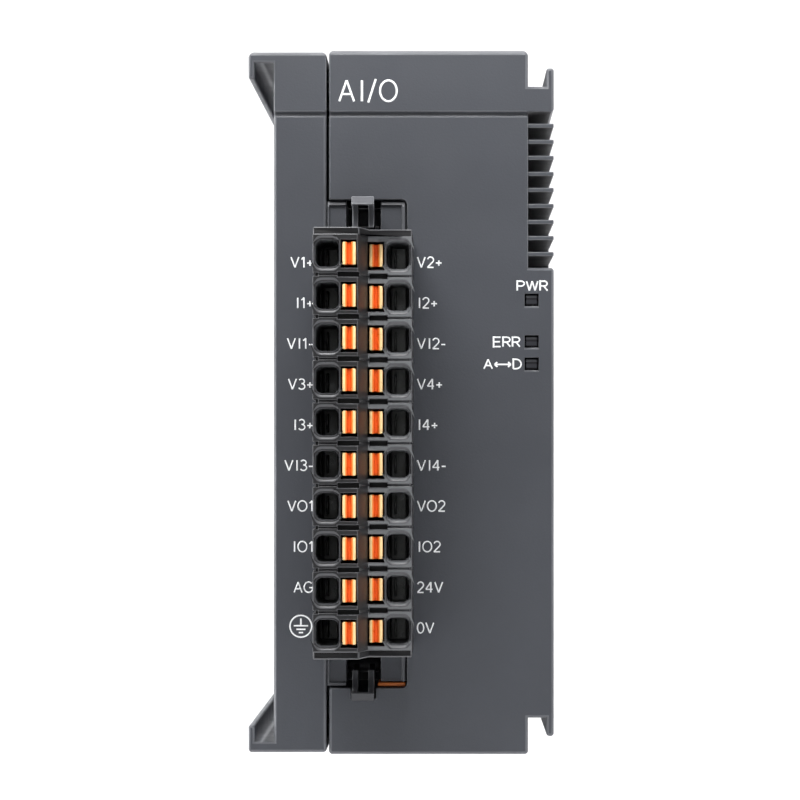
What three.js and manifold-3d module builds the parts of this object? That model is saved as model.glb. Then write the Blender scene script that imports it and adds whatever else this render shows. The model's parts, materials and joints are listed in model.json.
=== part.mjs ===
// A rail-mounted analogue input/output module of a programmable controller.
// Millimetres. X runs to the right, Y runs to the back and Z runs up. The origin is the
// centre of the seat that rests on the front of a 35 mm top-hat rail.

import * as THREE from 'three';
import { mergeVertices } from 'three/addons/utils/BufferGeometryUtils.js';
import Module from 'manifold-3d';

const wasm = await Module();
wasm.setup();

// ---------------------------------------------------------------- driving dimensions

// Housing
const WIDTH = 35;
const HEIGHT = 88;
const DEPTH = 75;
const RAIL_DEPTH = 7.5;
const WALL = 1.6;
const PANEL = 1.8;
const GAP = 0.3;
const SEAM_X = -10.75;
const SHELL_BACK = -3.8;
const COVER_HALF_HEIGHT = 43.76;
const BAND_GROOVE_Z = 36;
const BAND_GROOVE = { width: 0.5, depth: 0.5 };

const RIGHT = WIDTH / 2;
const LEFT = -RIGHT;
const TOP = HEIGHT / 2;
const BACK = RAIL_DEPTH;
const FRONT = BACK - DEPTH;
const PAST = 1; // how far a cutting tool runs past the face that it opens

// Interlock with the neighbouring modules: hooks on the left, rebates with a key on the right
const HOOK = { reach: 3.15, wall: 0.75, roof: 1.35, drop: 3.4 };
const REBATE = { width: 3.22, height: 4.55 };
const KEY = { width: 0.94, height: 2.3 };

// Louvre at the right front corner
const LOUVRE = { top: 36.3, bottom: 16.8, slots: 10, fin: 0.55, depth: 19.5, setBack: 0.3 };
const LOUVRE_DUCT = { start: 8, end: 18 };

// Slots in the top and bottom walls, and the snap catches that hold the two shells
const VENT = { count: 9, pitch: 4, width: 1.6, first: -58, x: [-4.6, 9.6] };
const SNAP = { places: [-56, -36, -16], tongue: 8, catch: 4.6, x: [-8.6, -6.4] };

// Lamp windows
const LAMP = { x: 14.73, width: 1.76, height: 1.55, recess: 0.45, pipeBack: -62.9 };
const LAMPS = { power: 12.8, error: 7.6, convert: 4.8 };

// Socket for the terminal block, and the pluggable block
const SOCKET = { right: -0.85, bottom: -35.7, top: 25.3, corner: 0.7, back: -54, floor: -57 };
const LEDGE = { setBack: 0.6, depth: 0.4, rim: 0.3, fit: 0.04 };
const BLOCK_X = -5.88;
const BLOCK_Z = -5.25;
const ROWS = 10;
const PITCH = 5;
const BLOCK = { halfWidth: 5.85, halfHeight: 25.65, highFace: -20, lowFace: -15.8, foot: -0.3 };
const SLOPE = { high: -0.55, low: 0.6 };
const PLUG = { halfWidth: 3.5, halfHeight: 24.9, back: 9.3 };
const WIRE_ENTRY = { x: 4.15, width: 2.75, height: 3.15, corner: 0.8, back: -7.5, funnel: 0.35 };
const LEVER = { x: 1.54, width: 1.62, height: 2.7, length: 8.6, sink: 0.1, ridge: 0.55, groove: 0.42 };
const LEVER_POCKET = { width: 2.04, above: 1.62, below: 1.75, depth: 10.4 };
const PIN = { x: 1.9, width: 0.7, tip: -63.5, hole: 1.1, plugHole: 1.3, plugHoleEnd: 3 };

// Release latches at both ends of the socket
const LATCH = { x: -6.3, slot: 4.3, pivotY: -60.3, legs: [0.65, 1.35] };
const LATCH_PIVOTS = { top: 26.9, bottom: -28.05 };
const LATCH_NOTCH = { width: 3.1, drop: 1.3 };
const LATCH_AXLE = { radius: 0.5, hole: 0.65, reach: 2.85, hub: 0.9, hubReach: 1.9 };

// Rail foot
const RAIL = { half: 17.7, seatHalf: 15, relief: 0.5, lip: 15.8, lipFront: 1.4 };
const BASE = { front: -3.5, halfHeight: 43.9, side: 0.15 };
const CLIP = { halfWidth: 5.9, front: 1.4, back: 4.6, bottom: -43.6, gripHalf: 4.2, gripBack: 7.2 };

// Side bus contacts and circuit boards
const BUS = { y: [-24, -8], z: [-13, 13], reach: 1.5, ways: 8 };
const LABEL = { y: [-60, -32], z: [-36, 8], pocket: 0.35, thickness: 0.25 };
const BOARD = { x: [10.8, 12.4], y: [-62, -5.9], halfHeight: 37 };
const TERMINAL_BOARD = { y: [-52.7, -51.1] };

// ---------------------------------------------------------------- solids

const CORNER_STEPS = 4;
const ROUND_STEPS = 16;

function solid(geometry) {
  geometry.deleteAttribute('normal');
  geometry.deleteAttribute('uv');
  const merged = mergeVertices(geometry, 1e-5);
  return new wasm.Manifold(new wasm.Mesh({
    numProp: 3,
    vertProperties: new Float32Array(merged.attributes.position.array),
    triVerts: new Uint32Array(merged.index.array),
  }));
}

function geometryOf(manifold) {
  const mesh = manifold.getMesh();
  const geometry = new THREE.BufferGeometry();
  const positions = new Float32Array(mesh.vertProperties);
  geometry.setAttribute('position', new THREE.BufferAttribute(positions, 3));
  geometry.setIndex(new THREE.BufferAttribute(new Uint32Array(mesh.triVerts), 1));
  geometry.computeVertexNormals();
  return geometry;
}

const join = (solids) => wasm.Manifold.union(solids);
const cut = (body, tools) => body.subtract(join(tools));

// A box between two limits on each axis.
function slab([x0, x1], [y0, y1], [z0, z1]) {
  const geometry = new THREE.BoxGeometry(x1 - x0, y1 - y0, z1 - z0);
  geometry.translate((x0 + x1) / 2, (y0 + y1) / 2, (z0 + z1) / 2);
  return solid(geometry);
}

function outline(points) {
  return new THREE.Shape(points.map(([u, v]) => new THREE.Vector2(u, v)));
}

// The upper half of an outline, followed by its mirror image below the centreline.
function mirroredOutline(upper) {
  const lower = upper.map(([x, z]) => [x, -z]).reverse();
  return outline([...upper, ...lower]);
}

function roundedRectangle([u0, u1], [v0, v1], radius) {
  const shape = new THREE.Shape();
  shape.absarc(u1 - radius, v0 + radius, radius, -Math.PI / 2, 0);
  shape.absarc(u1 - radius, v1 - radius, radius, 0, Math.PI / 2);
  shape.absarc(u0 + radius, v1 - radius, radius, Math.PI / 2, Math.PI);
  shape.absarc(u0 + radius, v0 + radius, radius, Math.PI, 1.5 * Math.PI);
  return shape;
}

function extrusion(shape, depth) {
  return new THREE.ExtrudeGeometry(shape, { depth, bevelEnabled: false, curveSegments: CORNER_STEPS });
}

// Extrudes an outline drawn in Y and Z along X.
function alongX(shape, [x0, x1]) {
  const geometry = extrusion(shape, x1 - x0);
  const turned = new THREE.Matrix4().makeBasis(
    new THREE.Vector3(0, 1, 0),
    new THREE.Vector3(0, 0, 1),
    new THREE.Vector3(1, 0, 0),
  );
  geometry.applyMatrix4(turned).translate(x0, 0, 0);
  return solid(geometry);
}

// Extrudes an outline drawn in X and Z along Y.
function alongY(shape, [y0, y1]) {
  const geometry = extrusion(shape, y1 - y0);
  geometry.rotateX(Math.PI / 2).translate(0, y1, 0);
  return solid(geometry);
}

// Extrudes an outline drawn in X and Y along Z.
function alongZ(shape, [z0, z1]) {
  const geometry = extrusion(shape, z1 - z0);
  geometry.translate(0, 0, z0);
  return solid(geometry);
}

// A round bar along X.
function roundBar(radius, [x0, x1], y, z) {
  const geometry = new THREE.CylinderGeometry(radius, radius, x1 - x0, ROUND_STEPS);
  geometry.rotateZ(Math.PI / 2).translate((x0 + x1) / 2, y, z);
  return solid(geometry);
}

// The same tool above the centreline and mirrored below it.
function aboveAndBelow(x, y, [z0, z1]) {
  return [slab(x, y, [z0, z1]), slab(x, y, [-z1, -z0])];
}

const around = (centre, width) => [centre - width / 2, centre + width / 2];
const grown = ([low, high], margin) => [low - margin, high + margin];
const count = (n) => Array.from({ length: n }, (_, i) => i);
const rowZ = (row) => ((ROWS - 1) / 2 - row) * PITCH;
const seamZ = (row) => rowZ(row) - PITCH / 2;

// ---------------------------------------------------------------- housing shells

const REBATE_X = RIGHT - REBATE.width;
const REBATE_Z = TOP - REBATE.height;

function bandGroove(x) {
  const z = around(BAND_GROOVE_Z, BAND_GROOVE.width);
  return slab(x, [FRONT - PAST, FRONT + BAND_GROOVE.depth], z);
}

function louvreSlots() {
  const { top, bottom, slots, fin, depth, setBack } = LOUVRE;
  const slotHeight = (top - bottom - fin * (slots - 1)) / slots;
  const tools = [slab([REBATE_X, RIGHT + PAST], [FRONT - PAST, FRONT + setBack], [bottom, top])];
  const duct = [FRONT + LOUVRE_DUCT.start, FRONT + LOUVRE_DUCT.end];
  for (const i of count(slots)) {
    const slotTop = top - i * (slotHeight + fin);
    const z = [slotTop - slotHeight, slotTop];
    tools.push(slab([REBATE_X, RIGHT + PAST], [FRONT - PAST, FRONT + depth], z));
    tools.push(slab([REBATE_X - WALL - PAST, REBATE_X + PAST], duct, z));
  }
  return tools;
}

function wallVents() {
  return count(VENT.count).flatMap((i) => {
    const y = VENT.first + i * VENT.pitch;
    return aboveAndBelow(VENT.x, [y, y + VENT.width], [TOP - WALL - PAST, TOP + PAST]);
  });
}

function snapWindows() {
  return SNAP.places.flatMap((place) => {
    const y = around(place, SNAP.catch + 2 * GAP);
    return aboveAndBelow(grown(SNAP.x, GAP), y, [TOP - WALL - PAST, TOP + PAST]);
  });
}

function lampWindows() {
  const x = around(LAMP.x, LAMP.width);
  const y = [FRONT - PAST, FRONT + PANEL + PAST];
  return Object.values(LAMPS).map((z) => slab(x, y, around(z, LAMP.height)));
}

function mainCase() {
  const left = SEAM_X + GAP / 2;
  const keyX = RIGHT - KEY.width;
  const keyZ = REBATE_Z + KEY.height;
  const outside = mirroredOutline([
    [left, TOP], [REBATE_X, TOP], [REBATE_X, REBATE_Z],
    [keyX, REBATE_Z], [keyX, keyZ], [RIGHT, keyZ],
  ]);
  const inside = mirroredOutline([
    [left - PAST, TOP - WALL], [REBATE_X - WALL, TOP - WALL],
    [REBATE_X - WALL, REBATE_Z - WALL], [RIGHT - WALL, REBATE_Z - WALL],
  ]);
  const shell = cut(alongY(outside, [FRONT, SHELL_BACK]), [
    alongY(inside, [FRONT + PANEL, SHELL_BACK + PAST]),
  ]);
  const louvreCore = slab(
    [REBATE_X - WALL, RIGHT - WALL / 2],
    [FRONT + PANEL / 2, FRONT + LOUVRE.depth + WALL],
    grown([LOUVRE.bottom, LOUVRE.top], WALL),
  );
  const socketOpening = roundedRectangle(
    [left - 2 * SOCKET.corner, SOCKET.right], [SOCKET.bottom, SOCKET.top], SOCKET.corner,
  );
  const throughPanel = [FRONT - PAST, FRONT + PANEL + PAST];
  const latchNotch = slab(
    around(LATCH.x, LATCH_NOTCH.width),
    throughPanel,
    [SOCKET.bottom - LATCH_NOTCH.drop, SOCKET.bottom + PAST],
  );
  return cut(join([shell, louvreCore]), [
    ...louvreSlots(),
    ...wallVents(),
    ...snapWindows(),
    ...lampWindows(),
    bandGroove([left - PAST, REBATE_X]),
    alongY(socketOpening, throughPanel),
    latchNotch,
    slab([RIGHT - WALL - PAST, RIGHT + PAST], BUS.y, BUS.z),
    slab([RIGHT - LABEL.pocket, RIGHT + PAST], LABEL.y, LABEL.z),
  ]);
}

// A springy tongue of the left cover, whose catch shows in a window of the main case.
function snapTongues() {
  const under = TOP - WALL - GAP;
  const tongueZ = [under - 1.4, under];
  const rootX = SEAM_X - GAP / 2;
  return SNAP.places.flatMap((place) => {
    const y = around(place, SNAP.tongue);
    return [
      ...aboveAndBelow([rootX - 3, SNAP.x[1] + 1.2], y, tongueZ),
      ...aboveAndBelow([rootX - 3, rootX], y, [tongueZ[0], tongueZ[1] + 0.5]),
      ...aboveAndBelow(SNAP.x, around(place, SNAP.catch), [tongueZ[1] - 0.2, TOP - GAP]),
    ];
  });
}

function leftCover() {
  const right = SEAM_X - GAP / 2;
  const hookX = LEFT - HOOK.reach;
  const outside = mirroredOutline([
    [right, COVER_HALF_HEIGHT], [hookX, COVER_HALF_HEIGHT],
    [hookX, COVER_HALF_HEIGHT - HOOK.drop], [hookX + HOOK.wall, COVER_HALF_HEIGHT - HOOK.drop],
    [hookX + HOOK.wall, COVER_HALF_HEIGHT - HOOK.roof], [LEFT, COVER_HALF_HEIGHT - HOOK.roof],
  ]);
  const hollow = slab(
    [LEFT + WALL, right + PAST],
    [FRONT + PANEL, SHELL_BACK + PAST],
    grown([-COVER_HALF_HEIGHT, COVER_HALF_HEIGHT], -WALL),
  );
  const shell = cut(alongY(outside, [FRONT, SHELL_BACK]), [
    hollow,
    bandGroove([LEFT - PAST, right + PAST]),
    slab([LEFT - PAST, LEFT + WALL + PAST], BUS.y, BUS.z),
  ]);
  return join([shell, ...snapTongues()]);
}

// ---------------------------------------------------------------- rail foot

function coringPockets() {
  const side = 8;
  const y = [2.5, BACK + PAST];
  const tools = [];
  for (const z of [25, 36]) {
    for (const x of [-12, 12]) tools.push(...aboveAndBelow(around(x, side), y, around(z, side + 0.5)));
    tools.push(slab(around(0, side), y, around(z, side + 0.5)));
  }
  return tools;
}

function boardRails() {
  const rails = aboveAndBelow(grown(BOARD.x, 1.4), [-9.5, BASE.front + 0.1], [28, 32]);
  const groove = aboveAndBelow(grown(BOARD.x, 0.2), [-9.5 - PAST, BOARD.y[1] + GAP], [27, 33]);
  return cut(join(rails), groove);
}

function rearBase() {
  const across = [LEFT - PAST, RIGHT + PAST];
  const bodyZ = [-BASE.halfHeight, BASE.halfHeight];
  const body = slab(grown([LEFT, RIGHT], -BASE.side), [BASE.front, BACK], bodyZ);
  const clipSlotZ = [-BASE.halfHeight - PAST, -RAIL.half + PAST];
  const hollowed = cut(body, [
    slab(across, [0, BACK + PAST], [-RAIL.half, RAIL.half]),
    ...aboveAndBelow(across, [-RAIL.relief, PAST], [RAIL.seatHalf, RAIL.half]),
    ...coringPockets(),
    slab([-CLIP.halfWidth - GAP, CLIP.halfWidth + GAP], [CLIP.front - GAP, CLIP.back + GAP], clipSlotZ),
    slab([-CLIP.gripHalf - GAP, CLIP.gripHalf + GAP], [CLIP.back, BACK + PAST], clipSlotZ),
  ]);
  const hook = outline([
    [RAIL.lipFront, RAIL.half + 0.5], [RAIL.lipFront, RAIL.lip],
    [RAIL.lipFront + 0.8, RAIL.lip], [RAIL.lipFront + 3.2, RAIL.half + 0.5],
  ]);
  const hooks = [[-14, -4], [4, 14]].map((x) => alongX(hook, x));
  return join([hollowed, ...hooks, boardRails()]);
}

// The sprung foot: its nose grips the lower edge of the rail, and a screwdriver pulls it down.
function railClip() {
  const { halfWidth, front, back, bottom, gripHalf, gripBack } = CLIP;
  const plate = outline([
    [front, -RAIL.lip], [front + 0.8, -RAIL.lip], [back, -RAIL.lip - 2.4], [back, bottom], [front, bottom],
  ]);
  const grip = slab([-gripHalf, gripHalf], [back - 0.1, gripBack], [bottom, -RAIL.half - 4]);
  const toolSlot = slab([-2.4, 2.4], [front - PAST, gripBack + PAST], [bottom + 2.2, bottom + 4.4]);
  const ribs = count(4).map((i) => {
    const z = bottom + 7 + i * 2.6;
    return slab([-gripHalf - PAST, gripHalf + PAST], [gripBack - 0.8, gripBack + PAST], [z, z + 1.1]);
  });
  return cut(join([alongX(plate, [-halfWidth, halfWidth]), grip]), [toolSlot, ...ribs]);
}

function earthContact() {
  const leaf = slab([14.6, 16.6], [-0.45, -0.1], [-17.2, -15.4]);
  const barb = slab([15.2, 16], [-0.45, -0.1], [-15.5, -15.2]);
  return join([leaf, barb]);
}

// ---------------------------------------------------------------- socket

function latchSlots() {
  const x = around(LATCH.x, LATCH.slot);
  const y = [FRONT - PAST, SOCKET.floor];
  const slots = [
    slab(x, y, [BLOCK_Z + PLUG.halfHeight, SOCKET.top + 3 * PAST]),
    slab(x, y, [SOCKET.bottom - 3 * PAST, BLOCK_Z - PLUG.halfHeight]),
  ];
  const reach = grown([-LATCH_AXLE.reach, LATCH_AXLE.reach], 0.2).map((v) => v + LATCH.x);
  const bores = Object.values(LATCH_PIVOTS).map((z) => {
    return roundBar(LATCH_AXLE.hole, reach, LATCH.pivotY, BLOCK_Z + z);
  });
  return [...slots, ...bores];
}

function pinHoles(width, y) {
  return count(ROWS).flatMap((row) => [-PIN.x, PIN.x].map((x) => {
    const z = around(rowZ(row), width);
    return slab(around(x, width), y, z);
  }));
}

function terminalHeader() {
  const x = [SEAM_X - GAP / 2 + LEDGE.fit, SOCKET.right - 0.2];
  const z = grown([SOCKET.bottom, SOCKET.top], -0.2);
  const face = FRONT + LEDGE.setBack;
  const flangeY = [FRONT + PANEL + 0.2, FRONT + PANEL + 1.8];
  const body = join([
    slab(x, [face, SOCKET.back], z),
    slab([SEAM_X + GAP / 2, x[1] + 1.4], flangeY, grown(z, 1.4)),
  ]);
  const plugSpace = slab(
    around(BLOCK_X, 2 * (PLUG.halfWidth + GAP)),
    [FRONT - PAST, SOCKET.floor],
    around(BLOCK_Z, 2 * (PLUG.halfHeight + GAP)),
  );
  const ledgeX = [x[0] + LEDGE.rim, x[1] - 0.5];
  const ledgeY = [FRONT - PAST, face + LEDGE.depth];
  const centreZ = (z[0] + z[1]) / 2;
  const ledges = [
    slab(ledgeX, ledgeY, [centreZ, z[1] - 0.45]),
    slab(ledgeX, ledgeY, [z[0] + 0.45, centreZ]),
  ];
  const stripSeat = slab([-4.7, RIGHT], [FRONT - PAST, -59], [z[0] - 2 * PAST, z[0] + 0.55]);
  const holes = pinHoles(PIN.hole, [SOCKET.floor - PAST, SOCKET.back + PAST])
    .map((hole) => hole.translate([BLOCK_X, 0, BLOCK_Z]));
  return cut(body, [plugSpace, ...ledges, ...latchSlots(), ...holes, stripSeat]);
}

// A row of contact pins on the strip that solders them to the terminal board.
function pinRow() {
  const carrierY = [SOCKET.back + 0.3, SOCKET.back + 1];
  const reach = rowZ(0) + 1;
  const carrier = slab(around(0, 1.2), carrierY, [-reach, reach]);
  const pins = count(ROWS).map((row) => {
    return slab(around(0, PIN.width), [PIN.tip, carrierY[1]], around(rowZ(row), PIN.width));
  });
  return join([carrier, ...pins]);
}

function codingStrip() {
  const z = [SOCKET.bottom + 0.15, SOCKET.bottom + 0.6];
  return slab([-4.5, SOCKET.right - 0.2], [FRONT + 0.8, -60], z);
}

// A latch about its own axle: two legs with a window between them, a sloping cap and two noses.
function latch() {
  const { hub, hubReach, radius, reach } = LATCH_AXLE;
  const [inner, outer] = LATCH.legs;
  const leg = outline([[0.3, -0.6], [-0.3, 0.85], [-9.4, 3.75], [-9.4, 2.65]]);
  const sides = [[-outer, -inner], [inner, outer]];
  const cap = outline([[-8.9, 2.75], [-8.9, 3.85], [-9.75, 3.85], [-10.5, 2.9], [-10.5, 2.75]]);
  return join([
    roundBar(hub, [-hubReach, hubReach], 0, 0),
    roundBar(radius, [-reach, reach], 0, 0),
    ...sides.map((x) => alongX(leg, x)),
    ...sides.map((x) => slab(x, [-7.9, -6.9], [0.1, 2.3])),
    alongX(cap, [-outer - 0.05, outer + 0.05]),
  ]);
}

// ---------------------------------------------------------------- terminal block
// Drawn from the block's own centre in X and Z, with Y = 0 at the front of the housing.

// The stepped front of the block, from a given depth behind the face outwards.
function frontBand(depth) {
  const edge = BLOCK.halfWidth + PAST;
  const { highFace, lowFace } = BLOCK;
  return outline([
    [-edge, highFace + depth], [SLOPE.high + depth / 4, highFace + depth],
    [SLOPE.low + depth / 4, lowFace + depth], [edge, lowFace + depth],
    [edge, highFace - PAST], [-edge, highFace - PAST],
  ]);
}

function wireEntry(x, face, z) {
  const width = around(x, WIRE_ENTRY.width);
  const height = around(z, WIRE_ENTRY.height);
  const hole = roundedRectangle(width, height, WIRE_ENTRY.corner);
  const mouth = new THREE.ExtrudeGeometry(hole, {
    depth: 0.02, curveSegments: CORNER_STEPS,
    bevelThickness: 0.4, bevelSize: WIRE_ENTRY.funnel, bevelSegments: 1,
  });
  mouth.rotateX(Math.PI / 2).translate(0, face, 0);
  return [alongY(hole, [face - PAST, WIRE_ENTRY.back]), solid(mouth)];
}

function leverPocket(x, face, z) {
  const { width, above, below, depth } = LEVER_POCKET;
  return slab(around(x, width), [face - PAST, face + depth], [z - below, z + above]);
}

function rowSeam(z) {
  const { halfWidth, highFace, lowFace, foot } = BLOCK;
  const edge = halfWidth + PAST;
  const fine = around(z, 0.22);
  const wide = around(z, 0.6);
  return [
    alongZ(frontBand(0.35), fine),
    slab([-2.9, SLOPE.high + 0.2], [highFace - PAST, highFace + 1.4], wide),
    slab([SLOPE.low + 0.15, 2.9], [lowFace - PAST, lowFace + 1.4], wide),
    slab([-edge, -halfWidth + 0.65], [highFace - PAST, highFace + 0.9], around(z, 0.45)),
    slab([-edge, -halfWidth + 0.3], [highFace - PAST, foot - 0.8], fine),
    slab([halfWidth - 0.3, edge], [highFace - PAST, foot - 0.8], fine),
  ];
}

function terminalBlock() {
  const { halfWidth, halfHeight, highFace, lowFace, foot } = BLOCK;
  const profile = outline([
    [-halfWidth, foot], [-halfWidth, highFace], [SLOPE.high, highFace],
    [SLOPE.low, lowFace], [halfWidth, lowFace], [halfWidth, foot],
  ]);
  const lugX = around(LATCH.x - BLOCK_X, 3.2);
  const body = join([
    alongZ(profile, [-halfHeight, halfHeight]),
    slab([-PLUG.halfWidth, PLUG.halfWidth], [foot - 0.1, PLUG.back], [-PLUG.halfHeight, PLUG.halfHeight]),
    ...aboveAndBelow(lugX, [0.6, 2.2], [PLUG.halfHeight - 0.5, PLUG.halfHeight + 1.5]),
  ]);
  const columns = [[-1, highFace], [1, lowFace]];
  const rows = count(ROWS).flatMap((row) => columns.flatMap(([side, face]) => [
    ...wireEntry(side * WIRE_ENTRY.x, face, rowZ(row)),
    leverPocket(side * LEVER.x, face, rowZ(row)),
  ]));
  const seams = count(ROWS - 1).flatMap((row) => rowSeam(seamZ(row)));
  const endStep = [rowZ(0) + PITCH / 2 - 0.2, halfHeight + PAST];
  const channels = [-1, 1].map((side) => {
    return slab(around(side * WIRE_ENTRY.x, 2), [WIRE_ENTRY.back - GAP, -6.3], [-24, 24]);
  });
  const sockets = pinHoles(PIN.plugHole, [PIN.plugHoleEnd, PLUG.back + PAST]);
  return cut(body, [
    ...rows,
    ...seams,
    ...channels,
    ...sockets,
    alongZ(frontBand(0.7), endStep),
    alongZ(frontBand(0.7), [-endStep[1], -endStep[0]]),
  ]);
}

// The clamp springs of one column: a bus strip with a leaf standing in every wire entry.
function contactStrip(leafTip) {
  const strip = slab(around(0, 1.6), [-7.6, -6.5], [-23.8, 23.8]);
  const leaves = count(ROWS).map((row) => slab([-0.55, -0.25], [leafTip, -7], around(rowZ(row), 2.2)));
  return join([strip, ...leaves]);
}

// A push lever with two finger ridges and a groove for the screwdriver between them.
function lever() {
  const { width, height, length, sink, ridge, groove } = LEVER;
  const edge = width / 2;
  const inner = edge - ridge;
  const profile = outline([
    [-edge, sink + length], [-edge, sink + 0.12], [-edge + 0.12, sink], [-inner, sink],
    [-inner + 0.1, sink + groove], [inner - 0.1, sink + groove],
    [inner, sink], [edge - 0.12, sink], [edge, sink + 0.12], [edge, sink + length],
  ]);
  return alongZ(profile, [-height / 2, height / 2]);
}

// ---------------------------------------------------------------- inner and side pieces

function lampPipe(z) {
  const y = [FRONT + LAMP.recess, LAMP.pipeBack];
  const front = slab(around(LAMP.x, LAMP.width - GAP), y, around(z, LAMP.height - GAP));
  const collar = slab(around(LAMP.x, 2.2), [-65, -64], around(z, 2.2));
  return join([front, collar]);
}

function lamp(z) {
  return slab([BOARD.x[1] + 0.1, LAMP.x + 0.8], [-62.6, -60.8], around(z, 1.6));
}

function busPlug() {
  const y = grown(BUS.y, -GAP);
  const z = grown(BUS.z, -GAP);
  const frame = join([
    slab([LEFT - BUS.reach, LEFT + 4.2], y, z),
    slab([LEFT + WALL + GAP, LEFT + WALL + GAP + 1.2], grown(y, 1.5), grown(z, 1.5)),
  ]);
  const pitch = (z[1] - z[0]) / (BUS.ways + 1);
  const ways = count(BUS.ways).map((i) => {
    const slotZ = around(z[0] + (i + 1) * pitch, 1.1);
    return slab([LEFT - BUS.reach - PAST, LEFT + 0.6], [y[0] + 2, y[1] - 2], slotZ);
  });
  return cut(frame, ways);
}

function busSocket() {
  const y = grown(BUS.y, -GAP);
  const z = grown(BUS.z, -GAP);
  const frame = slab([BOARD.x[1] + GAP, RIGHT - 0.3], y, z);
  const well = slab([RIGHT - 2.4, RIGHT + PAST], grown(y, -1.4), grown(z, -1.4));
  const pitch = (z[1] - z[0]) / (BUS.ways + 1);
  const blades = count(BUS.ways).map((i) => {
    const bladeZ = around(z[0] + (i + 1) * pitch, 0.7);
    return slab([RIGHT - 3, RIGHT - 0.9], grown(y, -2.6), bladeZ);
  });
  return join([cut(frame, [well]), ...blades]);
}

function sideLabel() {
  const outer = RIGHT - 0.1;
  return slab([outer - LABEL.thickness, outer], grown(LABEL.y, -0.4), grown(LABEL.z, -0.4));
}

function smoothingCapacitor() {
  return roundBar(4, [1, BOARD.x[0] - 0.1], -20, 26);
}

// ---------------------------------------------------------------- assembly

const FINISH = {
  housing: [0x5a5d63, 0.62, 0],
  block: [0x303134, 0.55, 0],
  latch: [0x54565c, 0.55, 0],
  lever: [0xf26a21, 0.4, 0],
  metal: [0xb9a26a, 0.35, 0.9],
  board: [0x1f5a34, 0.6, 0],
  lamp: [0x20262a, 0.25, 0],
  chip: [0x1b1b1d, 0.5, 0],
  label: [0xc9cacc, 0.7, 0],
};

function mesh(name, manifold, finish) {
  const [color, roughness, metalness] = FINISH[finish];
  const material = new THREE.MeshStandardMaterial({ color, roughness, metalness });
  const piece = new THREE.Mesh(geometryOf(manifold), material);
  piece.name = name;
  return piece;
}

function placed(object, x, y, z) {
  object.position.set(x, y, z);
  return object;
}

function terminalBlockGroup() {
  const group = new THREE.Group();
  group.add(mesh('terminal_block', terminalBlock(), 'block'));
  const columns = [[-1, BLOCK.highFace], [1, BLOCK.lowFace]];
  const leafTips = [-9.6, -9.2];
  ['contact_strip_left', 'contact_strip_right'].forEach((name, i) => {
    const strip = mesh(name, contactStrip(leafTips[i]), 'metal');
    group.add(placed(strip, columns[i][0] * WIRE_ENTRY.x, 0, 0));
  });
  for (const row of count(ROWS)) {
    columns.forEach(([side, face], column) => {
      const number = String(2 * row + column + 1).padStart(2, '0');
      const piece = mesh(`lever_${number}`, lever(), 'lever');
      group.add(placed(piece, side * LEVER.x, face, rowZ(row)));
    });
  }
  return placed(group, BLOCK_X, FRONT, BLOCK_Z);
}

function latchGroup() {
  const group = new THREE.Group();
  const upper = placed(mesh('latch_top', latch(), 'latch'), 0, 0, LATCH_PIVOTS.top);
  const lower = placed(mesh('latch_bottom', latch(), 'latch'), 0, 0, LATCH_PIVOTS.bottom);
  lower.rotation.y = Math.PI;
  group.add(upper, lower);
  return placed(group, LATCH.x, LATCH.pivotY, BLOCK_Z);
}

function socketGroup() {
  const group = new THREE.Group();
  group.add(mesh('terminal_header', terminalHeader(), 'housing'));
  group.add(mesh('coding_strip', codingStrip(), 'lever'));
  [['pin_row_left', -PIN.x], ['pin_row_right', PIN.x]].forEach(([name, x]) => {
    group.add(placed(mesh(name, pinRow(), 'metal'), BLOCK_X + x, 0, BLOCK_Z));
  });
  return group;
}

function electronicsGroup() {
  const group = new THREE.Group();
  const halfHeight = [-BOARD.halfHeight, BOARD.halfHeight];
  const terminalBoard = slab([SEAM_X + 0.4, BOARD.x[0] - 1], TERMINAL_BOARD.y, [-35, 25]);
  group.add(
    mesh('circuit_board', slab(BOARD.x, BOARD.y, halfHeight), 'board'),
    mesh('terminal_board', terminalBoard, 'board'),
    mesh('logic_chip', slab([8.9, BOARD.x[0] - 0.1], [-40, -26], [-10, 4]), 'chip'),
    mesh('isolating_transformer', slab([1.2, BOARD.x[0] - 0.1], [-46, -34], [-34, -22]), 'chip'),
    mesh('smoothing_capacitor', smoothingCapacitor(), 'chip'),
  );
  for (const [name, z] of Object.entries(LAMPS)) {
    group.add(mesh(`lamp_pipe_${name}`, lampPipe(z), 'lamp'));
    group.add(mesh(`lamp_${name}`, lamp(z), 'lamp'));
  }
  return group;
}

const part = new THREE.Group();
part.add(
  mesh('main_case', mainCase(), 'housing'),
  mesh('left_cover', leftCover(), 'housing'),
  mesh('rear_base', rearBase(), 'housing'),
  mesh('rail_clip', railClip(), 'latch'),
  mesh('earth_contact', earthContact(), 'metal'),
  mesh('bus_plug', busPlug(), 'block'),
  mesh('bus_socket', busSocket(), 'block'),
  mesh('side_label', sideLabel(), 'label'),
  socketGroup(),
  latchGroup(),
  terminalBlockGroup(),
  electronicsGroup(),
);

export default part;
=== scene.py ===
import json
import math

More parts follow.
